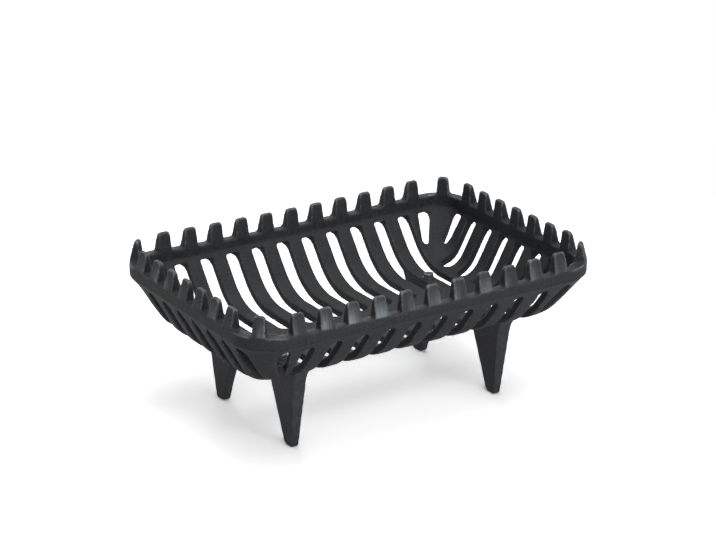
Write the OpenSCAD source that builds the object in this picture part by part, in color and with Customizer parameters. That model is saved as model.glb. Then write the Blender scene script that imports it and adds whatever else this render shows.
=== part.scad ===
// Cast-iron log grate: a toothed, slotted basket on four bolted legs.
// Millimetres, +Z up, the long side along X. The origin is on the floor under the middle.

/* [Rim] */
// Outer length of the rim, along X
rim_length = 402; // [340:1:480]
// Outer width of the rim, along Y
rim_width = 275; // [240:1:340]
// Height of the rim's top face at the corners
rim_height = 147.5; // [130:0.5:175]
// Height of the rim's upright outer band
band_height = 12.5; // [8:0.5:18]
// Horizontal thickness of the rim
rim_thickness = 11; // [10.5:0.5:14]
// Outer corner radius of the rim
corner_radius = 40; // [32:1:50]
// How far the rim's top dips at the middle of each long side
long_dip = 4.5; // [0.5:0.5:6]
// How far the rim's top dips at the middle of each short side
short_dip = 2; // [0.5:0.5:4]

/* [Bowl] */
// Height of the bowl's flat underside above the hearth
floor_height = 78; // [60:1:95]
// Thickness of the bowl's walls and floor
wall_thickness = 8; // [6:0.5:10]
// Outer radius of the bend between the floor and each long wall
long_bend_radius = 63; // [50:1:76]
// Slope of each long wall above its bend, degrees
long_wall_slope = 52; // [48:1:58]
// Outer radius of the bend between the floor and each short wall
short_bend_radius = 34; // [24:1:44]
// Slope of each short wall above its bend, degrees
short_wall_slope = 61; // [56:1:68]
// Corner radius of the flat floor, in plan
floor_corner_radius = 20; // [12:1:30]
// How far the rim band stands proud of the wall under it
band_proud = 0.4; // [0.4:0.1:1.5]

/* [Slots] */
// Number of slots in each long side
long_slots = 12; // [8:2:14]
// Number of slots in each short side
short_slots = 8; // [4:2:10]
// Width of a slot
slot_width = 14; // [10:0.5:14]
// Corner radius of a slot's outer end
slot_end_radius = 6.5; // [3:0.5:6.5]
// Distance from the rim's outer end to the centre line of the outermost slot
slot_end_margin = 36; // [34:0.5:42]
// Distance from the rim's outer face to the outer end of a long side's slots
long_slot_setback = 7; // [5:0.5:9]
// Distance from the rim's outer face to the outer end of a short side's slots
short_slot_setback = 4; // [3:0.5:6]
// Metal left between the rim band and the top of a slot
slot_roof = 5; // [3:0.5:8]
// Width of the rib left along the middle of the floor
rib_width = 24; // [16:1:40]
// Length of a short side's slots
short_slot_length = 46; // [30:1:50]
// Turn of the outermost slot of a long side towards the middle, degrees
long_fan_angle = 28; // [20:1:34]
// Length of the outermost slot of a long side
long_fan_length = 32; // [22:1:36]
// Turn of the outermost slot of a short side towards the middle, degrees
short_fan_angle = 14; // [8:1:20]
// Length of the outermost slot of a short side
short_fan_length = 30; // [20:1:34]
// Width of the inner end of the outermost slots
fan_slot_end_width = 7; // [5:0.5:9]

/* [Teeth] */
// Height of a tooth above the rim
tooth_height = 20; // [14:0.5:26]
// Width of a tooth at its foot
tooth_foot_width = 15.5; // [13:0.5:18]
// Width of a tooth at its tip
tooth_tip_width = 12.5; // [8:0.5:13]
// Radius of a tooth's tip corners, seen from the front
tooth_tip_radius = 2.5; // [2:0.5:4]
// Radius of the fillet between a tooth and the rim
tooth_fillet = 3; // [2:0.5:4]
// How far a tooth's outer face leans inwards from the rim band to the tip
tooth_outer_lean = 5; // [3:0.5:5.5]
// How far a tooth's inner face leans outwards at the tip
tooth_inner_lean = 2; // [1:0.5:2.5]
// Radius of a tooth's tip edges, seen from the side
tooth_edge_radius = 1.25; // [0.75:0.25:1.75]
// Height of a corner tooth above the rim
corner_tooth_height = 19; // [14:0.5:26]
// Width of a corner tooth at its foot
corner_tooth_foot_width = 13; // [12:0.5:18]
// Width of a corner tooth at its tip
corner_tooth_tip_width = 10.5; // [8:0.5:12]

/* [Legs] */
// Which bar carries a leg, counted from the middle of the long side
leg_bar = 4; // [2:1:4]
// Distance of the leg bolts from the basket's long centre line
leg_bolt_offset = 52; // [46:1:56]
// Width of a leg's outer face under the bowl, along X
leg_top_thickness = 15.5; // [14:0.5:16]
// Width of a leg's outer face at the foot, along X
leg_foot_thickness = 9; // [7:0.5:13]
// Angle between each side of a leg and the Y axis, narrowing the leg inwards
leg_side_angle = 2; // [0.5:0.5:2.5]
// Depth of a leg's foot, along Y
leg_foot_depth = 16.5; // [13:0.5:24]
// Distance of the foot's outer face from the long centre line
leg_foot_reach = 74; // [68:0.5:80]
// Distance of a leg's inner top edge from its bolt, along Y
leg_inner_reach = 21; // [14:0.5:24]
// Distance of a leg's outer top edge from its bolt, along Y
leg_outer_reach = 32.5; // [28:0.5:36]
// Radius of the flare where a leg's outer face meets the bowl
leg_flare_radius = 22; // [16:1:28]
// How far the flare spreads past a leg's outer face
leg_flare_spread = 7; // [4:0.5:8]
// Distance of the start of the flare below the floor's underside
leg_flare_drop = 6; // [2:0.5:10]
// Radius of the foot's outer lower edge, seen from the side
leg_foot_radius = 3.5; // [2:0.5:5]
// Radius of the foot's inner lower edge, seen from the side
leg_heel_radius = 7; // [3:0.5:8]
// Radius of the foot's lower edges, seen from the front
leg_sole_radius = 2; // [1:0.5:3]

/* [Fasteners] */
// Diameter of the leg bolts
bolt_diameter = 6; // [5:0.5:6]
// Length of the leg bolts under the head
bolt_length = 30; // [22:1:36]
// Width across flats of the bolt head
bolt_head_width = 10; // [9:0.5:11]
// Height of the bolt head
bolt_head_height = 4; // [3:0.5:6]
// Outer diameter of the washers
washer_diameter = 12; // [11:0.5:13]
// Thickness of the washers
washer_thickness = 1.6; // [1:0.2:2.4]
// Diametral clearance of the bolt in the basket and the washer
bolt_clearance = 0.6; // [0.4:0.1:1]
// Diametral clearance of the bolt in the leg's tapped hole
thread_clearance = 0.1; // [0.1:0.05:0.3]
// Depth of the leg's hole past the end of the bolt
hole_runout = 3; // [2:0.5:6]
// Diametral clearance of the washer in its spot face
spot_clearance = 1; // [0.5:0.5:2]

/* [Hidden] */

$fn = 48;
corner_steps = 8;       // facets in each corner of the bowl
wall_steps = 10;        // facets in the bend of each wall of the bowl
dip_steps = 1440;       // facets in a full turn of the rim's shallow dips
sink = 6;               // how far a tooth's root is sunk in the rim
tooth_steps = 5;        // facets in each round edge of a tooth
tooth_seat = 0.6;       // how far a tooth is let into the rim, so that its fillets end in the rim
tooth_inset = 0.2;      // how far the teeth's roots stay inside the outer face of the rim band
tip_rise = 0.5;         // how far a tooth's side view stands above the flat tip of its front view
slot_end_flat = 1;      // least flat between the round corners of a slot's outer end
lap = 1;                // how far one solid runs into another that it joins, or past a face it cuts
cut = 50;               // how far a cutting solid runs past the grate
leg_sweep = 200;        // length of the wedges that a leg's two sides are cut from

half_length = rim_length / 2;
half_width = rim_width / 2;
band_bottom = rim_height - band_height;
wall_drop = band_bottom - floor_height;
floor_top = floor_height + wall_thickness;
long_pitch = (rim_length - 2 * slot_end_margin) / (long_slots - 1);
short_pitch = (rim_width - 2 * slot_end_margin) / (short_slots - 1);
leg_x = leg_bar * long_pitch;
long_wall = [long_bend_radius, long_wall_slope];
short_wall = [short_bend_radius, short_wall_slope];

iron = [0.22, 0.22, 0.23];
steel = [0.55, 0.56, 0.58];

// ---- the bowl's walls: a bend up from the flat floor, then a straight slope ----

// Height gained in the bend, on a wall = [bend radius, slope]
function bend_climb(wall) = wall[0] * (1 - cos(wall[1]));

// Horizontal distance from the rim's outer face to the start of a wall's bend
function wall_run(wall) =
    band_proud + wall[0] * sin(wall[1]) + (wall_drop - bend_climb(wall)) / tan(wall[1]);

// Distance from the rim's outer face to a wall, at a climb above the flat of its outer or inner
// surface. The inner surface has the same centre, so its radius is less by the skin.
function wall_inset(wall, skin, climb) =
    let (inner = [wall[0] - skin, wall[1]],
         turn = min(wall[1], acos(max(-1, 1 - climb / inner[0]))),
         straight = max(0, climb - bend_climb(inner)))
    wall_run(wall) - inner[0] * sin(turn) - straight / tan(wall[1]);

// Climbs of the rings of the bowl above its flat, from the top down
function climbs(skin) = concat([wall_drop - skin], [
    for (i = [wall_steps : -1 : 0])
        (long_wall[0] - skin) * (1 - cos(long_wall[1] * i / wall_steps))
]);

// A ring of points round a rounded rectangle, anticlockwise
function ring(half_l, half_w, radius, z) = [
    for (c = [0 : 3])
        let (sx = (c == 0 || c == 3) ? 1 : -1, sy = c < 2 ? 1 : -1)
        for (i = [0 : corner_steps])
            let (a = 90 * c + 90 * i / corner_steps)
            [sx * (half_l - radius) + radius * cos(a),
             sy * (half_w - radius) + radius * sin(a), z]
];

// The bowl's ring at a climb above the flat of its outer or inner surface
function bowl_ring(skin, climb) =
    let (share = climb / (wall_drop - skin),
         radius = floor_corner_radius + share * (corner_radius - skin - floor_corner_radius))
    ring(half_length - wall_inset(short_wall, skin, climb),
         half_width - wall_inset(long_wall, skin, climb),
         radius, floor_height + skin + climb);

// The bowl as a loft, with its top carried straight up to top_z
module bowl(skin, top_z) {
    steps = climbs(skin);
    lip = [for (p = bowl_ring(skin, steps[0])) [p.x, p.y, top_z]];
    rings = concat([lip], [for (climb = steps) bowl_ring(skin, climb)]);
    n = len(lip);
    last = len(rings) - 1;
    points = [for (r = rings) for (p = r) p];
    sides = [
        for (k = [0 : last - 1]) for (i = [0 : n - 1])
            let (j = (i + 1) % n)
            [k * n + i, k * n + j, (k + 1) * n + j, (k + 1) * n + i]
    ];
    top = [for (i = [n - 1 : -1 : 0]) i];
    bottom = [for (i = [0 : n - 1]) last * n + i];
    polyhedron(points, concat(sides, [top, bottom]), convexity = 4);
}

// ---- plan shapes ----

module rounded_plate(half_l, half_w, radius) {
    square([2 * half_l, 2 * (half_w - radius)], center = true);
    square([2 * (half_l - radius), 2 * half_w], center = true);
    for (sx = [-1, 1]) for (sy = [-1, 1])
        translate([sx * (half_l - radius), sy * (half_w - radius)])
            circle(radius);
}

// A slot from its outer end at the origin, running along +Y: rounded corners at the outer end,
// and a half circle at the inner one
module slot_outline(length, outer_w, inner_w) {
    r0 = min(slot_end_radius, (outer_w - slot_end_flat) / 2);
    r1 = inner_w / 2;
    for (s = [-1, 1]) translate([s * (outer_w / 2 - r0), r0]) circle(r0);
    translate([0, length - r1]) circle(r1);
    polygon([
        [-outer_w / 2 + r0, 0], [outer_w / 2 - r0, 0], [outer_w / 2, r0],
        [inner_w / 2, length - r1], [-inner_w / 2, length - r1], [-outer_w / 2, r0],
    ]);
}

// The slots of one long side, seen in plan; the side is at -Y
module long_side_slots() {
    reach = half_width - long_slot_setback - rib_width / 2;
    end = (long_slots - 1) / 2;
    for (i = [1 : long_slots - 2])
        translate([(i - end) * long_pitch, -half_width + long_slot_setback])
            slot_outline(reach, slot_width, slot_width);
    for (side = [-1, 1])
        translate([side * end * long_pitch, -half_width + long_slot_setback])
            rotate(side * long_fan_angle)
                slot_outline(long_fan_length, slot_width, fan_slot_end_width);
}

// The slots of one short side, seen in plan; the side is at +X
module short_side_slots() {
    end = (short_slots - 1) / 2;
    for (i = [1 : short_slots - 2])
        translate([half_length - short_slot_setback, (i - end) * short_pitch])
            rotate(90)
                slot_outline(short_slot_length, slot_width, slot_width);
    for (side = [-1, 1])
        translate([half_length - short_slot_setback, side * end * short_pitch])
            rotate(90 + side * short_fan_angle)
                slot_outline(short_fan_length, slot_width, fan_slot_end_width);
}

module slots() {
    for (turn = [0, 180]) rotate(turn) {
        long_side_slots();
        short_side_slots();
    }
}

// ---- the rim and its teeth ----

// Radius of the arc that dips this far over a half span
function dip_radius(half_span, dip) = (half_span * half_span + dip * dip) / (2 * dip);

// Drop of the rim's top at a distance from the middle of a side
function dip_at(half_span, dip, s) =
    let (r = dip_radius(half_span, dip))
    sqrt(r * r - s * s) - (r - dip);

module rim_ring() {
    translate([0, 0, band_bottom - lap])
        linear_extrude(band_height + lap)
            difference() {
                rounded_plate(half_length, half_width, corner_radius);
                rounded_plate(half_length - rim_thickness, half_width - rim_thickness,
                              corner_radius - rim_thickness);
            }
}

// What the dip takes off the top of the two long sides
module long_dips() {
    r = dip_radius(half_length, long_dip);
    for (s = [-1, 1])
        translate([0, s * half_width, 0])
            rotate([90, 0, 0])
                linear_extrude(2 * (rim_thickness + lap), center = true)
                    intersection() {
                        translate([0, rim_height - long_dip + r])
                            circle(r, $fn = dip_steps);
                        translate([-half_length, rim_height - long_dip - lap])
                            square([rim_length, long_dip + 2 * lap]);
                    }
}

// What the dip takes off the top of the two short sides
module short_dips() {
    r = dip_radius(half_width, short_dip);
    for (s = [-1, 1])
        translate([s * half_length, 0, 0])
            rotate([90, 0, 90])
                linear_extrude(2 * (rim_thickness + lap), center = true)
                    intersection() {
                        translate([0, rim_height - short_dip + r])
                            circle(r, $fn = dip_steps);
                        translate([-half_width, rim_height - short_dip - lap])
                            square([rim_width, short_dip + 2 * lap]);
                    }
}

// Points along an arc, from angle a0 to angle a1
function arc(centre, radius, a0, a1) = [
    for (i = [0 : tooth_steps])
        let (a = a0 + (a1 - a0) * i / tooth_steps)
        centre + radius * [cos(a), sin(a)]
];

// A tooth from the front: round tip corners and a filleted foot
module tooth_front(height, foot_width, tip_width) {
    flank = atan((foot_width - tip_width) / (2 * height));
    r = tooth_tip_radius;
    f = tooth_fillet;
    tip_x = foot_width / 2 - (height - r) * tan(flank) - r / cos(flank);
    fillet_x = foot_width / 2 - f * tan(flank) + f / cos(flank);
    right = concat(
        [[fillet_x, -sink]],
        arc([fillet_x, f], f, 270, 180 + flank),
        arc([tip_x, height - r], r, flank, 90)
    );
    left = [for (i = [len(right) - 1 : -1 : 0]) [-right[i].x, right[i].y]];
    polygon(concat(right, left));
}

// A tooth from the side: both faces lean and the tip is round. The outer face is at -X, and it
// carries the outer face of the rim band on.
module tooth_side(height) {
    outer = atan(tooth_outer_lean / height);
    inner = atan(tooth_inner_lean / height);
    foot = rim_thickness - tooth_inset;
    r = tooth_edge_radius;
    rise = height - r;
    outer_x = rise * tan(outer) + r / cos(outer);
    inner_x = foot - rise * tan(inner) - r / cos(inner);
    polygon(concat(
        [[0, 0], [0, -sink], [foot, -sink], [foot, 0]],
        arc([inner_x, rise], r, inner, 90),
        arc([outer_x, rise], r, 90, 180 - outer)
    ));
}

// A tooth on the rim's top, with its outer face towards -Y and the rim's outer face at Y = 0
module tooth(height = tooth_height, foot_width = tooth_foot_width, tip_width = tooth_tip_width) {
    full_height = height + tooth_seat;
    width = foot_width + 4 * tooth_fillet;
    translate([0, tooth_inset, -tooth_seat])
        intersection() {
            translate([0, rim_thickness, 0]) rotate([90, 0, 0])
                linear_extrude(2 * rim_thickness)
                    tooth_front(full_height, foot_width, tip_width);
            translate([-width / 2, 0, 0]) rotate([90, 0, 90])
                linear_extrude(width) tooth_side(full_height + tip_rise);
        }
}

module long_side_teeth() {
    end = (long_slots - 2) / 2;
    for (i = [-end : end])
        translate([i * long_pitch, -half_width,
                   rim_height - dip_at(half_length, long_dip, i * long_pitch)])
            tooth();
}

module short_side_teeth() {
    end = (short_slots - 2) / 2;
    for (i = [-end : end])
        translate([half_length, i * short_pitch,
                   rim_height - dip_at(half_width, short_dip, i * short_pitch)])
            rotate(90) tooth();
}

// The tooth on the front right corner, facing along the diagonal. Its foot follows the corner's
// round.
module corner_tooth() {
    translate([half_length - corner_radius, -half_width + corner_radius, rim_height])
        intersection() {
            rotate(45)
                translate([0, -corner_radius, 0])
                    tooth(corner_tooth_height, corner_tooth_foot_width, corner_tooth_tip_width);
            translate([0, 0, -sink - lap])
                cylinder(r = corner_radius - tooth_inset, h = corner_tooth_height + sink + 2 * lap);
        }
}

module teeth() {
    for (turn = [0, 180]) rotate(turn) {
        long_side_teeth();
        short_side_teeth();
        corner_tooth();
        mirror([1, 0, 0]) corner_tooth();
    }
}

// ---- places of the legs ----

// Puts its children at one leg: s = [-1 left or 1 right, -1 front or 1 back]
module at_leg(s) {
    mirror([s.x > 0 ? 0 : 1, 0, 0]) mirror([0, s.y > 0 ? 0 : 1, 0])
        translate([leg_x, leg_bolt_offset, 0])
            children();
}

module basket() {
    color(iron)
        difference() {
            union() {
                difference() {
                    union() {
                        difference() {
                            bowl(0, band_bottom + 2 * lap);
                            translate([0, 0, -cut])
                                linear_extrude(band_bottom - slot_roof + cut)
                                    slots();
                        }
                        rim_ring();
                    }
                    intersection() {
                        bowl(wall_thickness, rim_height + cut);
                        linear_extrude(rim_height + 2 * cut)
                            rounded_plate(half_length - rim_thickness,
                                          half_width - rim_thickness,
                                          corner_radius - rim_thickness);
                    }
                    long_dips();
                    short_dips();
                }
                teeth();
            }
            for (sx = [-1, 1]) for (sy = [-1, 1]) at_leg([sx, sy]) {
                cylinder(d = bolt_diameter + bolt_clearance, h = rim_height);
                translate([0, 0, floor_top])
                    cylinder(d = washer_diameter + spot_clearance, h = cut);
            }
        }
}

// ---- legs ----

// The space above the bowl's underside, seen along X, measured from the long centre line
module above_underside() {
    underside = [
        for (climb = climbs(0))
            [half_width - wall_inset(long_wall, 0, climb), floor_height + climb]
    ];
    polygon(concat([[-cut, floor_height], [-cut, rim_height], [half_width, rim_height]],
                   underside));
}

// A leg seen along X; the distance from the basket's centre line runs along +X here
module leg_side() {
    inner = leg_bolt_offset - leg_inner_reach;
    outer = leg_bolt_offset + leg_outer_reach;
    foot_inner = leg_foot_reach - leg_foot_depth;
    heel = leg_heel_radius;
    toe = leg_foot_radius;
    lean = atan((outer - leg_foot_reach) / floor_height);
    flare_z = floor_height - leg_flare_drop;
    flare_top = wall_drop;
    difference() {
        union() {
            polygon([
                [foot_inner + heel, 0], [leg_foot_reach - toe, 0],
                [leg_foot_reach, toe], [outer, floor_height], [outer, band_bottom],
                [inner, band_bottom], [inner, floor_height], [foot_inner, heel],
            ]);
            translate([foot_inner + heel, heel]) circle(heel);
            translate([leg_foot_reach - toe, toe]) circle(toe);
            translate([leg_foot_reach + flare_z * tan(lean), flare_z])
                rotate(-lean)
                    difference() {
                        translate([-toe, 0]) square([leg_flare_spread + toe, flare_top]);
                        translate([leg_flare_radius, 0]) circle(leg_flare_radius);
                    }
        }
        above_underside();
    }
}

// A leg seen along Y, centred on its bar
module leg_front() {
    r = leg_sole_radius;
    foot = leg_foot_thickness / 2;
    top = leg_top_thickness / 2;
    translate([-foot + r, 0]) square([2 * (foot - r), 2 * r]);
    for (s = [-1, 1]) translate([s * (foot - r), r]) circle(r);
    polygon([
        [-foot, r], [foot, r], [top, floor_height], [top, band_bottom],
        [-top, band_bottom], [-top, floor_height],
    ]);
}

// A leg, with its bolt on the Z axis and its outer face towards +Y. Its sides close in towards
// the middle of the grate.
module leg() {
    hole_bottom = floor_top + washer_thickness - bolt_length - hole_runout;
    outer = leg_outer_reach + leg_flare_spread;
    color(iron)
        difference() {
            intersection() {
                translate([-leg_top_thickness, -leg_bolt_offset, 0])
                    rotate([90, 0, 90])
                        linear_extrude(2 * leg_top_thickness) leg_side();
                intersection_for(s = [-1, 1])
                    translate([0, outer, 0])
                        rotate([90, 0, s * leg_side_angle])
                            linear_extrude(leg_sweep, center = true) leg_front();
            }
            translate([0, 0, hole_bottom])
                cylinder(d = bolt_diameter + thread_clearance, h = cut);
        }
}

module leg_front_left() { at_leg([-1, -1]) leg(); }
module leg_front_right() { at_leg([1, -1]) leg(); }
module leg_back_left() { at_leg([-1, 1]) leg(); }
module leg_back_right() { at_leg([1, 1]) leg(); }

// ---- fasteners ----

module bolt() {
    seat = floor_top + washer_thickness;
    across_corners = bolt_head_width / cos(30);
    color(steel) {
        translate([0, 0, seat - bolt_length])
            cylinder(d = bolt_diameter, h = bolt_length);
        translate([0, 0, seat])
            cylinder(d = across_corners, h = bolt_head_height, $fn = 6);
    }
}

module bolt_front_left() { at_leg([-1, -1]) bolt(); }
module bolt_front_right() { at_leg([1, -1]) bolt(); }
module bolt_back_left() { at_leg([-1, 1]) bolt(); }
module bolt_back_right() { at_leg([1, 1]) bolt(); }

module washer() {
    color(steel)
        translate([0, 0, floor_top])
            difference() {
                cylinder(d = washer_diameter, h = washer_thickness);
                translate([0, 0, -lap])
                    cylinder(d = bolt_diameter + bolt_clearance, h = washer_thickness + 2 * lap);
            }
}

module washer_front_left() { at_leg([-1, -1]) washer(); }
module washer_front_right() { at_leg([1, -1]) washer(); }
module washer_back_left() { at_leg([-1, 1]) washer(); }
module washer_back_right() { at_leg([1, 1]) washer(); }

basket();
leg_front_left();
leg_front_right();
leg_back_left();
leg_back_right();
bolt_front_left();
bolt_front_right();
bolt_back_left();
bolt_back_right();
washer_front_left();
washer_front_right();
washer_back_left();
washer_back_right();
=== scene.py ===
# Looks of the cast-iron log grate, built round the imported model.
# Metres, +Z up, the long side along X, the feet's soles at Z = 0.
import math

import bmesh
import bpy
import numpy as np
from mathutils import Matrix, Vector


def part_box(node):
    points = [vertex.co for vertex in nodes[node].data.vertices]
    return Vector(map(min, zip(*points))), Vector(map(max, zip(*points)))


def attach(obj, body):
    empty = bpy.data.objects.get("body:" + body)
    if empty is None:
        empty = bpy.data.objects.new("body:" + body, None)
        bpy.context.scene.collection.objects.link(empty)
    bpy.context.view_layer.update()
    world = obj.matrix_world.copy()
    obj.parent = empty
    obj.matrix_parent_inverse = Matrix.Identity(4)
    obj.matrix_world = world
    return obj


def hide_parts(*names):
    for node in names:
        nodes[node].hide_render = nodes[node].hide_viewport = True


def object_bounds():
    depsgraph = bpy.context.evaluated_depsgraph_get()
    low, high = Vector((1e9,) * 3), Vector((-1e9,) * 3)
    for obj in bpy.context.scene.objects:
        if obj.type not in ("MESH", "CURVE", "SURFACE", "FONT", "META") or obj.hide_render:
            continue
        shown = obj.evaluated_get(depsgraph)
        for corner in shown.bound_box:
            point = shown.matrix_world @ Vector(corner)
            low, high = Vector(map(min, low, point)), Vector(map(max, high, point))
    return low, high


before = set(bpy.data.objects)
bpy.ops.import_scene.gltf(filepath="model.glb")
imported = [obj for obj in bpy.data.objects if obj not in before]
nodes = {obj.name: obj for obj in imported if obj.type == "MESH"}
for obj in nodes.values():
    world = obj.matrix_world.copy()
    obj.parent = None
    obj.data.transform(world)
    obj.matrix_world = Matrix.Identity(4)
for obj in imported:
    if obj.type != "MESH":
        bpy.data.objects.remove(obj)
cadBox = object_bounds()
print("frame loaded,", len(nodes), "nodes")

mm = 0.001
legPlaces = ["front_left", "front_right", "back_left", "back_right"]


def linearColour(hexText):  # sRGB hex to the linear colour that a shader wants
    channels = [int(hexText[i:i + 2], 16) / 255 for i in (0, 2, 4)]
    return [c / 12.92 if c <= 0.04045 else ((c + 0.055) / 1.055) ** 2.4 for c in channels] + [1.0]


def addNode(tree, kind, inputs=None, **settings):  # a node with its settings and its links
    made = tree.nodes.new(kind)
    for name, value in settings.items():
        setattr(made, name, value)
    for name, value in (inputs or {}).items():
        if isinstance(value, bpy.types.NodeSocket):
            tree.links.new(value, made.inputs[name])
        else:
            made.inputs[name].default_value = value
    return made


def perMetre(sizeMm):  # the noise scale whose features are this many millimetres across
    return 1.0 / (sizeMm * mm)


def newMaterial(name):
    material = bpy.data.materials.new(name)
    material.use_nodes = True
    material.node_tree.nodes.clear()
    return material, material.node_tree


# Grey iron cast in sand, under a thin coat of stove black: the sand leaves a fine grain over
# longer soft swells, and the coat is nearly black with a dull sheen. The edges wear lighter and
# smoother, and their lighter colour is also a painted highlight. The outer faces of the teeth
# were ground flat, so the bare iron shows there in upright streaks. Its brightness there is a
# painted sheen, brightest at the foot and painted darker towards the tip.
basketIron = {
    "coat": "343537",            # stove black, thin
    "coatThick": "212224",       # where it lies thick
    "coatRange": (0.38, 0.62),   # noise values at which it is thick and thin
    "wornAndHighlight": "979da2",            # rubbed edges, lighter also as a painted highlight
    "groundAndSheen": "868d91",          # bare iron of the ground faces, drawn brighter as a painted sheen
    "roughness": (0.50, 0.68),   # thick to thin coat
    "wornRoughness": 0.36,
    "groundRoughness": 0.42,
    "bareMetallic": 0.35,
    "grainMm": 3.2,              # real sand grains are 0.3 mm, drawn coarser so that they show
    "grainDepthMm": 0.50,
    "swellMm": 7.0,
    "swellDepthMm": 0.14,
    "mottleMm": 18.0,
    "grainInCoat": 0.6,          # how much the coat's thickness follows the grain
    "wearRange": (0.40, 0.60),   # the coat goes from the edges in patches, not evenly
    "leastWear": 0.45,
    "streakMm": 1.3,             # across a grinding streak
    "streakLengthMm": 18.0,
    "streakRange": (0.32, 0.62),
    "leastStreak": 0.45,
    "toothMm": 26.0,             # some teeth carry a brighter painted sheen than their neighbours
    "toothShiftMm": -100.0,
    "toothRange": (0.40, 0.66),
    "leastTooth": 0.08,
    "specular": 0.22,
}
# Nothing rubs the legs, so their edges keep nearly the colour of the coat and get no painted
# highlight.
# # Their coat is drawn lighter than the basket's, partly a tone of its own and partly painted
# light
# # for the light that reaches the legs.
legIron = dict(basketIron, coat="434447", coatThick="313235", wornAndHighlight="4e5154", wornRoughness=0.50,
               bareMetallic=0.1, grainDepthMm=0.40)


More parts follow.
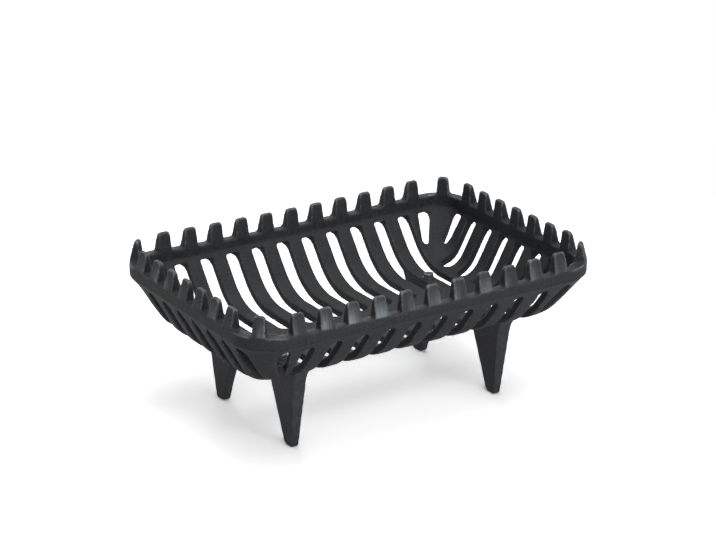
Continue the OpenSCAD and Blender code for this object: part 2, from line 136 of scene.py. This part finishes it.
def sandCastIron(name, look):
    material, tree = newMaterial(name)
    place = addNode(tree, "ShaderNodeTexCoord").outputs["Object"]
    grain = addNode(tree, "ShaderNodeTexNoise", {
        "Vector": place, "Scale": perMetre(look["grainMm"]), "Detail": 3.0, "Roughness": 0.6})
    swell = addNode(tree, "ShaderNodeTexNoise", {
        "Vector": place, "Scale": perMetre(look["swellMm"]), "Detail": 2.0, "Roughness": 0.5})
    mottle = addNode(tree, "ShaderNodeTexNoise", {
        "Vector": place, "Scale": perMetre(look["mottleMm"]), "Detail": 6.0, "Roughness": 0.62})
    # convex edges: lighter from wear and as a painted highlight
    wearAndHighlight = addNode(tree, "ShaderNodeAttribute", attribute_name="wearAndHighlight").outputs["Fac"]
    face = addNode(tree, "ShaderNodeAttribute", attribute_name="groundAndSheen").outputs["Fac"]
    along = addNode(tree, "ShaderNodeAttribute", attribute_name="along").outputs["Fac"]

    uneven = addNode(tree, "ShaderNodeMix", {
        0: look["grainInCoat"], 2: mottle.outputs["Fac"], 3: grain.outputs["Fac"]}).outputs[0]
    thin = addNode(tree, "ShaderNodeMapRange", {
        "Value": uneven, "From Min": look["coatRange"][0],
        "From Max": look["coatRange"][1]}).outputs["Result"]
    coat = addNode(tree, "ShaderNodeMix", {
        0: thin, 6: linearColour(look["coatThick"]), 7: linearColour(look["coat"])},
        data_type="RGBA").outputs[2]
    height = addNode(tree, "ShaderNodeSeparateXYZ", {"Vector": place}).outputs["Z"]
    drawn = addNode(tree, "ShaderNodeMath", {
        0: height, 1: look["streakMm"] / look["streakLengthMm"]},
        operation="MULTIPLY").outputs["Value"]
    upright = addNode(tree, "ShaderNodeCombineXYZ", {"X": along, "Z": drawn}).outputs["Vector"]
    streak = addNode(tree, "ShaderNodeTexNoise", {
        "Vector": upright, "Scale": perMetre(look["streakMm"]), "Detail": 2.0, "Roughness": 0.6})
    streaky = addNode(tree, "ShaderNodeMapRange", {
        "Value": streak.outputs["Fac"], "From Min": look["streakRange"][0],
        "From Max": look["streakRange"][1], "To Min": look["leastStreak"]}).outputs["Result"]
    shifted = addNode(tree, "ShaderNodeMath", {0: along, 1: look["toothShiftMm"] * mm},
                      operation="ADD").outputs["Value"]
    tooth = addNode(tree, "ShaderNodeTexNoise", {
        "W": shifted, "Scale": perMetre(look["toothMm"]), "Detail": 0.0}, noise_dimensions="1D")
    byTooth = addNode(tree, "ShaderNodeMapRange", {
        "Value": tooth.outputs["Fac"], "From Min": look["toothRange"][0],
        "From Max": look["toothRange"][1], "To Min": look["leastTooth"]}).outputs["Result"]
    shown = addNode(tree, "ShaderNodeMath", {0: streaky, 1: byTooth},
                    operation="MULTIPLY").outputs["Value"]
    # the teeth's ground outer faces: bare iron with a painted sheen, in streaks and stronger on
    # some teeth
    groundAndSheen = addNode(tree, "ShaderNodeMath", {0: face, 1: shown},
                     operation="MULTIPLY", use_clamp=True).outputs["Value"]
    toothed = addNode(tree, "ShaderNodeMix", {
        0: groundAndSheen, 6: coat, 7: linearColour(look["groundAndSheen"])}, data_type="RGBA").outputs[2]
    # the rubbed edges in patches, lighter from wear and as a painted highlight along them
    patch = addNode(tree, "ShaderNodeMapRange", {
        "Value": mottle.outputs["Fac"], "From Min": look["wearRange"][0],
        "From Max": look["wearRange"][1], "To Min": look["leastWear"]}).outputs["Result"]
    bareAndHighlight = addNode(tree, "ShaderNodeMath", {0: wearAndHighlight, 1: patch},
                   operation="MULTIPLY", use_clamp=True).outputs["Value"]
    colour = addNode(tree, "ShaderNodeMix", {
        0: bareAndHighlight, 6: toothed, 7: linearColour(look["wornAndHighlight"])}, data_type="RGBA").outputs[2]

    low, high = look["roughness"]
    coatRough = addNode(tree, "ShaderNodeMapRange", {
        "Value": thin, "To Min": low, "To Max": high}).outputs["Result"]
    toothRough = addNode(tree, "ShaderNodeMix", {
        0: groundAndSheen, 2: coatRough, 3: look["groundRoughness"]}).outputs[0]
    rough = addNode(tree, "ShaderNodeMix", {
        0: bareAndHighlight, 2: toothRough, 3: look["wornRoughness"]}).outputs[0]

    swelled = addNode(tree, "ShaderNodeBump", {
        "Height": swell.outputs["Fac"], "Distance": look["swellDepthMm"] * mm, "Strength": 1.0})
    grained = addNode(tree, "ShaderNodeBump", {
        "Height": grain.outputs["Fac"], "Distance": look["grainDepthMm"] * mm, "Strength": 1.0,
        "Normal": swelled.outputs["Normal"]})
    most = addNode(tree, "ShaderNodeMath", {0: bareAndHighlight, 1: groundAndSheen},
                   operation="MAXIMUM").outputs["Value"]
    metal = addNode(tree, "ShaderNodeMath", {0: most, 1: look["bareMetallic"]},
                    operation="MULTIPLY").outputs["Value"]
    shader = addNode(tree, "ShaderNodeBsdfPrincipled", {
        "Base Color": colour, "Roughness": rough, "Normal": grained.outputs["Normal"],
        "Metallic": metal, "IOR": 1.5, "Specular IOR Level": look["specular"]})
    addNode(tree, "ShaderNodeOutputMaterial", {"Surface": shader.outputs["BSDF"]})
    return material


# Zinc-plated steel, dulled by handling: small spangles, and fine turning lines that the plating
# keeps, in a grey that is still metal.
zincLook = {
    "zinc": "75777b",
    "dull": "535558",
    "roughness": (0.42, 0.58),
    "spangleMm": 1.6,
    "spangleRange": (0.35, 0.65),
    "grainMm": 0.35,
    "grainDepthMm": 0.01,
}


def platedSteel(name, look):
    material, tree = newMaterial(name)
    place = addNode(tree, "ShaderNodeTexCoord").outputs["Object"]
    spangle = addNode(tree, "ShaderNodeTexNoise", {
        "Vector": place, "Scale": perMetre(look["spangleMm"]), "Detail": 4.0, "Roughness": 0.6})
    grain = addNode(tree, "ShaderNodeTexNoise", {
        "Vector": place, "Scale": perMetre(look["grainMm"]), "Detail": 2.0, "Roughness": 0.5})
    bright = addNode(tree, "ShaderNodeMapRange", {
        "Value": spangle.outputs["Fac"], "From Min": look["spangleRange"][0],
        "From Max": look["spangleRange"][1]}).outputs["Result"]
    colour = addNode(tree, "ShaderNodeMix", {
        0: bright, 6: linearColour(look["dull"]), 7: linearColour(look["zinc"])},
        data_type="RGBA").outputs[2]
    low, high = look["roughness"]
    rough = addNode(tree, "ShaderNodeMapRange", {
        "Value": bright, "To Min": high, "To Max": low}).outputs["Result"]
    grained = addNode(tree, "ShaderNodeBump", {
        "Height": grain.outputs["Fac"], "Distance": look["grainDepthMm"] * mm, "Strength": 1.0})
    shader = addNode(tree, "ShaderNodeBsdfPrincipled", {
        "Base Color": colour, "Roughness": rough, "Normal": grained.outputs["Normal"],
        "Metallic": 1.0})
    addNode(tree, "ShaderNodeOutputMaterial", {"Surface": shader.outputs["BSDF"]})
    return material


basketMaterial = sandCastIron("sand_cast_iron_basket", basketIron)
legMaterial = sandCastIron("sand_cast_iron_leg", legIron)
zincMaterial = platedSteel("zinc_plated_steel", zincLook)
print("materials ready")


def newPiece(name, mesh, material, nodeName):
    mesh.materials.clear()
    mesh.materials.append(material)
    piece = bpy.data.objects.new(name, mesh)
    bpy.context.scene.collection.objects.link(piece)
    for face in mesh.polygons:
        face.use_smooth = True
    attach(piece, "root")
    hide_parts(nodeName)


weightLevels = 20  # steps in which a vertex group's weights are set


def throughModifiers(name, mesh, steps, groups=None):  # the mesh that these modifiers make of it
    holder = bpy.data.objects.new(name, mesh)
    bpy.context.scene.collection.objects.link(holder)
    for groupName, weights in (groups or {}).items():
        group = holder.vertex_groups.new(name=groupName)
        levels = np.round(weights * weightLevels).astype(int)
        for level in range(1, weightLevels + 1):
            group.add(np.flatnonzero(levels == level).tolist(), level / weightLevels, "REPLACE")
    for kind, settings in steps:
        modifier = holder.modifiers.new(kind, kind)
        for key, value in settings.items():
            setattr(modifier, key, value)
    graph = bpy.context.evaluated_depsgraph_get()
    made = bpy.data.meshes.new_from_object(holder.evaluated_get(graph))
    bpy.data.objects.remove(holder)
    made.name = name
    return made


def triangleCount(mesh):
    return sum(len(face.vertices) - 2 for face in mesh.polygons)


swellWidthMm = 14
castSwell = bpy.data.textures.new("cast_swell", "CLOUDS")  # soft unevenness left by the mould
castSwell.noise_scale = swellWidthMm * mm
castSwell.noise_depth = 1

toothLook = {
    "rimTopMm": 147.5,       # height of the rim's top at the corners
    "dipMm": (4.5, 2.0),     # how far it dips at the middle of a long and of a short side
    "heightMm": 20.0,
    "tipMm": (13.0, 17.0),   # heights between which the rounding of the tip sets in
    "tipRounding": 0.5,
    "fadeMm": 2.0,           # the ground face and its painted sheen start over this much above the rim's top
    "tipShare": 0.0,         # how much of the painted sheen is left at the tip
    "cornerMm": 40.0,        # outer corner radius of the rim
    "facing": (0.70, 0.93),  # how squarely a face must look outwards
}


def heightOnTeeth(places, half):  # millimetres above the rim's dipping top
    dip = ((1 - (places[:, :2] / half) ** 2) * toothLook["dipMm"]).sum(1)
    return places[:, 2] / mm - (toothLook["rimTopMm"] - dip)


def share(values, low, high):  # 0 up to low, 1 from high on
    return np.clip((values - low) / (high - low), 0, 1)


# The bars have fuller round edges than the teeth, and the wall runs softly into the rim's band.
basketCast = {
    "voxelMm": 0.95,
    "smoothing": 5,            # passes over everything
    "moreSmoothing": 14,       # and over the bars and walls
    "softMm": (137.0, 142.0),  # heights between which the second smoothing fades out
    "swellMm": 0.30,
    "growMm": 0.26,            # gives back what the smoothing takes off
    "triangles": 192000,
    "teeth": True,
}
legCast = {
    "voxelMm": 0.6,
    "smoothing": 12,
    "moreSmoothing": 0,        # so the heights on the next line don't matter
    "softMm": (0.0, 1.0),
    "swellMm": 0.30,
    "growMm": 0.45,
    "triangles": 34000,
    "teeth": False,
}


def vertexPlaces(mesh, field="co"):
    values = np.empty(len(mesh.vertices) * 3)
    mesh.vertices.foreach_get(field, values)
    return values.reshape(-1, 3)


def castBody(name, nodeName, cast):  # the CAD node's form with the soft edges of a casting
    bm = bmesh.new()
    bm.from_mesh(nodes[nodeName].data)
    bmesh.ops.remove_doubles(bm, verts=bm.verts, dist=0.0005 * mm)
    merged = bpy.data.meshes.new(name + "_merged")
    bm.to_mesh(merged)
    bm.free()
    skin = throughModifiers(name + "_skin", merged, [
        ("REMESH", {"mode": "VOXEL", "voxel_size": cast["voxelMm"] * mm})])
    places = vertexPlaces(skin)
    softer = 1 - share(places[:, 2] / mm, *cast["softMm"])
    if cast["teeth"]:
        above = heightOnTeeth(places, np.array(cadBox[1])[:2])
        softer = np.maximum(softer, toothLook["tipRounding"] * share(above, *toothLook["tipMm"]))
    soft = throughModifiers(name + "_soft", skin, [
        ("SMOOTH", {"factor": 0.5, "iterations": cast["smoothing"]}),
        ("SMOOTH", {"factor": 0.5, "iterations": cast["moreSmoothing"],
                    "vertex_group": "softer"}),
        ("DISPLACE", {"texture": castSwell, "texture_coords": "LOCAL",
                      "strength": cast["swellMm"] * mm,
                      "mid_level": 0.5 - cast["growMm"] / cast["swellMm"]}),
    ], {"softer": softer})
    kept = min(1.0, cast["triangles"] / triangleCount(soft))
    made = throughModifiers(name, soft, [("DECIMATE", {"ratio": kept})])
    places = vertexPlaces(made)
    places[:, 2] = np.maximum(places[:, 2], cadBox[0][2])  # the soles stay on the floor
    made.vertices.foreach_set("co", places.ravel())
    made.update()
    return made


def setAttribute(mesh, name, values):
    layer = mesh.attributes.new(name, "FLOAT", "POINT")
    layer.data.foreach_set("value", np.asarray(values, np.float32))


# how far the neighbours of an edge fall away, and the passes that even this out along it
wearLook = {"start": 0.07, "full": 0.22, "evening": 2}


def edgeWearAndHighlight(mesh):  # 1 on convex edges, 0 on flats and in hollows; it places the wear and the painted highlight
    count = len(mesh.vertices)
    places, normals = vertexPlaces(mesh), vertexPlaces(mesh, "normal")
    ends = np.empty(len(mesh.edges) * 2, int)
    mesh.edges.foreach_get("vertices", ends)
    ends = ends.reshape(-1, 2)
    total, number = np.zeros(count), np.zeros(count)
    for a, b in ((0, 1), (1, 0)):
        step = places[ends[:, a]] - places[ends[:, b]]
        length = np.linalg.norm(step, axis=1) + 1e-9
        total += np.bincount(ends[:, a], (step * normals[ends[:, a]]).sum(1) / length, count)
        number += np.bincount(ends[:, a], minlength=count)
    number = np.maximum(number, 1)
    fall = total / number
    for _ in range(wearLook["evening"]):
        around = np.zeros(count)
        for a, b in ((0, 1), (1, 0)):
            around += np.bincount(ends[:, a], fall[ends[:, b]], count)
        fall = (fall + around / number) / 2
    return share(fall, wearLook["start"], wearLook["full"])


def teethGroundAndSheen(mesh, nodeName):
    # 1 on the outer faces of the teeth at the foot, where the bare iron and its painted sheen
    # # are full, and the way gone along the rim
    look = toothLook
    places, normals = vertexPlaces(mesh), vertexPlaces(mesh, "normal")
    half = np.array(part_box(nodeName)[1])[:2]
    inner = half - look["cornerMm"] * mm
    nearest = np.clip(places[:, :2], -inner, inner)
    outward = places[:, :2] - nearest
    outward /= np.linalg.norm(outward, axis=1)[:, None] + 1e-9
    along = nearest.sum(1) + look["cornerMm"] * mm * np.arctan2(outward[:, 1], outward[:, 0])
    facing = (outward * normals[:, :2]).sum(1)
    square = share(facing, *look["facing"])
    above = heightOnTeeth(places, half)
    # the painted sheen is painted darker towards the tip
    left = 1 - (1 - look["tipShare"]) * share(above, 0, look["heightMm"])
    return square * share(above, 0, look["fadeMm"]) * left, along


basketMesh = castBody("basket_casting", "basket", basketCast)
# edges lighter from wear and as a painted highlight
setAttribute(basketMesh, "wearAndHighlight", edgeWearAndHighlight(basketMesh))
# the bare iron and painted sheen on the teeth's ground faces
groundAndSheen, along = teethGroundAndSheen(basketMesh, "basket")
setAttribute(basketMesh, "groundAndSheen", groundAndSheen)
setAttribute(basketMesh, "along", along)
newPiece("basket_casting", basketMesh, basketMaterial, "basket")
print("basket ready,", triangleCount(basketMesh), "triangles")

for place in legPlaces:
    legMesh = castBody("leg_casting_" + place, "leg_" + place, legCast)
    setAttribute(legMesh, "wearAndHighlight", edgeWearAndHighlight(legMesh))
    setAttribute(legMesh, "groundAndSheen", [0.0] * len(legMesh.vertices))
    setAttribute(legMesh, "along", [0.0] * len(legMesh.vertices))
    newPiece("leg_casting_" + place, legMesh, legMaterial, "leg_" + place)
print("legs ready,", triangleCount(legMesh), "triangles each")


# M6 hexagon bolt: forged head with a chamfered top, rolled thread.
boltLook = {
    "acrossFlatsMm": 10.0,
    "headMm": 4.0,
    "chamferDeg": 28.0,
    "chamferPlanes": 36,
    "chamferTopMm": 9.3,       # across the flat of the head's top
    "coreMm": 4.9,             # thread's root diameter
    "rootSinkMm": 0.15,        # how deep the thread's root is sunk into the core
    "shankMm": 5.95,
    "roundSegments": 48,
    "tipMm": 1.2,              # the tapered end
    "tipTaper": 0.86,
    "threadStartMm": 0.9,      # above the lower end
    "pitchMm": 1.0,
    "crestShares": (0.42, 0.54, 0.96),  # of the pitch: the crest's start and end, the next root
    "turns": 22,
    "stepsPerTurn": 24,
    "voxelMm": 0.2,
    "triangles": 16000,
}


def hexBolt(name, nodeName):
    look = boltLook
    low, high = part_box(nodeName)
    centre = (low + high) / 2
    headHeight = look["headMm"] * mm
    seat = high.z - headHeight
    halfFlat = math.radians(30)
    radius = look["acrossFlatsMm"] * mm / 2 / math.cos(halfFlat)
    lift = Matrix.Translation((0, 0, headHeight / 2))
    bm = bmesh.new()
    bmesh.ops.create_cone(
        bm, cap_ends=True, segments=6, radius1=radius, radius2=radius, depth=headHeight,
        matrix=lift @ Matrix.Rotation(halfFlat, 4, "Z"))
    tilt = math.radians(look["chamferDeg"])
    for k in range(look["chamferPlanes"]):
        turn = 2 * math.pi * k / look["chamferPlanes"]
        side = Vector((math.cos(turn), math.sin(turn), 0))
        cutResult = bmesh.ops.bisect_plane(
            bm, geom=bm.verts[:] + bm.edges[:] + bm.faces[:], dist=0.001 * mm,
            plane_co=side * look["chamferTopMm"] * mm / 2 + Vector((0, 0, headHeight)),
            plane_no=side * math.sin(tilt) + Vector((0, 0, math.cos(tilt))), clear_outer=True)
        rim = [g for g in cutResult["geom_cut"]
               if isinstance(g, bmesh.types.BMEdge) and g.is_valid]
        if rim:
            bmesh.ops.holes_fill(bm, edges=rim, sides=0)
    bmesh.ops.translate(bm, verts=bm.verts[:], vec=(0, 0, seat))

    pitch = look["pitchMm"] * mm
    threadLength = look["turns"] * pitch
    plain = seat - low.z - threadLength
    start = low.z + look["threadStartMm"] * mm
    core, shank = look["coreMm"] * mm / 2, look["shankMm"] * mm / 2
    overlap = 1 * mm  # how far the plain shank runs up into the head
    for lower, upper, depth, middle in (
            (shank, shank, plain + overlap, seat - plain / 2 + overlap / 2),
            (core * look["tipTaper"], core, look["tipMm"] * mm, low.z + look["tipMm"] * mm / 2),
            (core, core, threadLength, start + threadLength / 2)):
        bmesh.ops.create_cone(
            bm, cap_ends=True, segments=look["roundSegments"], radius1=lower, radius2=upper,
            depth=depth, matrix=Matrix.Translation((0, 0, middle)))
    root = core - look["rootSinkMm"] * mm
    first, second, third = look["crestShares"]
    profile = [bm.verts.new((across, 0, start + part * pitch)) for across, part in (
        (root, 0), (shank, first), (shank, second), (root, third))]
    loop = [bm.edges.new((profile[k], profile[(k + 1) % 4])) for k in range(4)]
    bm.faces.new(profile)
    turns = look["turns"] - 1
    swept = bmesh.ops.spin(
        bm, geom=loop, cent=(0, 0, 0), axis=(0, 0, 1), angle=2 * math.pi * turns,
        dvec=(0, 0, pitch / look["stepsPerTurn"]), steps=look["stepsPerTurn"] * turns,
        use_merge=False, use_duplicate=False)
    lastEdges = [g for g in swept["geom_last"] if isinstance(g, bmesh.types.BMEdge)]
    bmesh.ops.contextual_create(bm, geom=lastEdges)
    bmesh.ops.recalc_face_normals(bm, faces=bm.faces[:])
    bmesh.ops.translate(bm, verts=bm.verts[:], vec=(centre.x, centre.y, 0))
    rough = bpy.data.meshes.new(name + "_rough")
    bm.to_mesh(rough)
    bm.free()
    soft = throughModifiers(name + "_soft", rough, [
        ("REMESH", {"mode": "VOXEL", "voxel_size": look["voxelMm"] * mm}),
        ("SMOOTH", {"factor": 0.4, "iterations": 2}),
    ])
    kept = min(1.0, look["triangles"] / triangleCount(soft))
    return throughModifiers(name, soft, [("DECIMATE", {"ratio": kept})])


washerLook = {
    "holeMm": 6.6,
    "steps": 72,
    "edgeMm": 0.22,
    "sharpDeg": 60.0,  # edges that turn by more than this are softened
}


def plainWasher(name, nodeName):  # stamped ring with softened edges
    look = washerLook
    low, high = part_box(nodeName)
    centre = (low + high) / 2
    outer, inner = (high.x - low.x) / 2, look["holeMm"] * mm / 2
    bm = bmesh.new()
    section = [bm.verts.new(p) for p in (
        (inner, 0, low.z), (outer, 0, low.z), (outer, 0, high.z), (inner, 0, high.z))]
    loop = [bm.edges.new((section[k], section[(k + 1) % 4])) for k in range(4)]
    bmesh.ops.spin(bm, geom=section + loop, cent=(0, 0, 0), axis=(0, 0, 1), angle=2 * math.pi,
                   steps=look["steps"], use_merge=True, use_duplicate=False)
    bmesh.ops.remove_doubles(bm, verts=bm.verts[:], dist=0.001 * mm)
    bmesh.ops.recalc_face_normals(bm, faces=bm.faces[:])
    sharp = math.radians(look["sharpDeg"])
    corners = [e for e in bm.edges if e.is_manifold and e.calc_face_angle() > sharp]
    bmesh.ops.bevel(bm, geom=corners, affect="EDGES", offset=look["edgeMm"] * mm, segments=3,
                    profile=0.5, material=-1)
    bmesh.ops.translate(bm, verts=bm.verts[:], vec=(centre.x, centre.y, 0))
    mesh = bpy.data.meshes.new(name)
    bm.to_mesh(mesh)
    bm.free()
    return mesh


for place in legPlaces:
    boltMesh = hexBolt("leg_bolt_" + place, "bolt_" + place)
    newPiece("leg_bolt_" + place, boltMesh, zincMaterial, "bolt_" + place)
    washerMesh = plainWasher("leg_washer_" + place, "washer_" + place)
    newPiece("leg_washer_" + place, washerMesh, zincMaterial, "washer_" + place)
print("bolts and washers ready,", triangleCount(boltMesh), "and", triangleCount(washerMesh),
      "triangles each")


# Plain white studio: a large lamp above, one low in front, and weak ones at the left and behind.
# The floor keeps a pale shadow round the grate and is even white beyond it.
studio = {
    "floorHalfM": 14.0,
    "floorGrey": "c8c8c8",  # what the light meets
    "floorGain": 2.05,      # how much more strongly the eye sees the light on the floor
    "glowM": (0.42, 0.80),  # distances between which the floor turns to even white
    "worldStrength": 0.12,
    "topSizeM": 1.8, "topWatts": 24.0, "topPlace": (0.1, -0.1, 1.9),
    "frontSizeM": 1.4, "frontWatts": 25.0, "frontPlace": (0.1, -2.0, 0.42),
    "sideSizeM": 1.4, "sideWatts": 2.0, "sidePlace": (-1.9, -0.8, 0.9),
    "backSizeM": 1.4, "backWatts": 12.0, "backPlace": (0.5, 2.0, 0.5),
}
plainWhite = (1.0, 1.0, 1.0, 1.0)


def seenByEye(tree):  # 1 for rays that reach the camera straight, mirrored or through glass
    path = addNode(tree, "ShaderNodeLightPath").outputs
    shiny = addNode(tree, "ShaderNodeMath", {
        0: path["Is Glossy Ray"], 1: path["Is Transmission Ray"]},
        operation="MAXIMUM").outputs["Value"]
    return addNode(tree, "ShaderNodeMath", {0: path["Is Camera Ray"], 1: shiny},
                   operation="MAXIMUM").outputs["Value"]


floorMaterial, tree = newMaterial("white_floor")
lit = addNode(tree, "ShaderNodeBsdfDiffuse", {
    "Color": linearColour(studio["floorGrey"])}).outputs["BSDF"]
straight = addNode(tree, "ShaderNodeLightPath").outputs["Is Camera Ray"]
gain = addNode(tree, "ShaderNodeMapRange", {
    "Value": straight, "To Min": 1.0, "To Max": studio["floorGain"]}).outputs["Result"]
shaded = addNode(tree, "ShaderNodeBsdfDiffuse", {"Color": gain}).outputs["BSDF"]
onFloor = addNode(tree, "ShaderNodeTexCoord").outputs["Object"]
distance = addNode(tree, "ShaderNodeVectorMath", {0: onFloor},
                   operation="LENGTH").outputs["Value"]
far = addNode(tree, "ShaderNodeMapRange", {
    "Value": distance, "From Min": studio["glowM"][0], "From Max": studio["glowM"][1]},
    interpolation_type="SMOOTHSTEP").outputs["Result"]
white = addNode(tree, "ShaderNodeEmission", {
    "Color": plainWhite, "Strength": 1.0}).outputs["Emission"]
seen = addNode(tree, "ShaderNodeMixShader", {0: far, 1: shaded, 2: white}).outputs["Shader"]
both = addNode(tree, "ShaderNodeMixShader", {
    0: seenByEye(tree), 1: lit, 2: seen}).outputs["Shader"]
addNode(tree, "ShaderNodeOutputMaterial", {"Surface": both})
bm = bmesh.new()
bmesh.ops.create_grid(bm, x_segments=1, y_segments=1, size=studio["floorHalfM"])
floorMesh = bpy.data.meshes.new("floor")
bm.to_mesh(floorMesh)
bm.free()
floorMesh.materials.append(floorMaterial)
floor = bpy.data.objects.new("floor", floorMesh)
bpy.context.scene.collection.objects.link(floor)

world = bpy.data.worlds.new("studio")
bpy.context.scene.world = world
world.use_nodes = True
tree = world.node_tree
tree.nodes.clear()
ambient = addNode(tree, "ShaderNodeBackground", {
    "Color": plainWhite, "Strength": studio["worldStrength"]}).outputs["Background"]
backdrop = addNode(tree, "ShaderNodeBackground", {
    "Color": plainWhite, "Strength": 1.0}).outputs["Background"]
mixed = addNode(tree, "ShaderNodeMixShader", {
    0: seenByEye(tree), 1: ambient, 2: backdrop}).outputs["Shader"]
addNode(tree, "ShaderNodeOutputWorld", {"Surface": mixed})

# The photograph's view. The lamps point at the same place as the camera.
view = {"azimuthDeg": -32.43, "elevationDeg": 20.71, "distanceM": 2.4171,
        "lensMm": 120.6, "sensorMm": 36.0, "clipEndM": 60.0}
aim = Vector((0.0095, 0.0159, 0.1289))
for name in ("top", "front", "side", "back"):
    data = bpy.data.lights.new(name + "_light", "AREA")
    data.shape = "SQUARE"
    data.size = studio[name + "SizeM"]
    data.energy = studio[name + "Watts"]
    lamp = bpy.data.objects.new(name + "_light", data)
    lamp.location = studio[name + "Place"]
    lamp.rotation_euler = (aim - lamp.location).to_track_quat("-Z", "Y").to_euler()
    bpy.context.scene.collection.objects.link(lamp)

cameraData = bpy.data.cameras.new("view")
cameraData.sensor_width = view["sensorMm"]
cameraData.lens = view["lensMm"]
cameraData.clip_end = view["clipEndM"]
camera = bpy.data.objects.new("view", cameraData)
camera.rotation_euler = (
    math.radians(90 - view["elevationDeg"]), 0, math.radians(view["azimuthDeg"]))
camera.location = aim + camera.rotation_euler.to_matrix() @ Vector((0, 0, view["distanceM"]))
bpy.context.scene.collection.objects.link(camera)
bpy.context.scene.camera = camera
bpy.context.scene.view_settings.view_transform = "Standard"
print("studio and view ready")
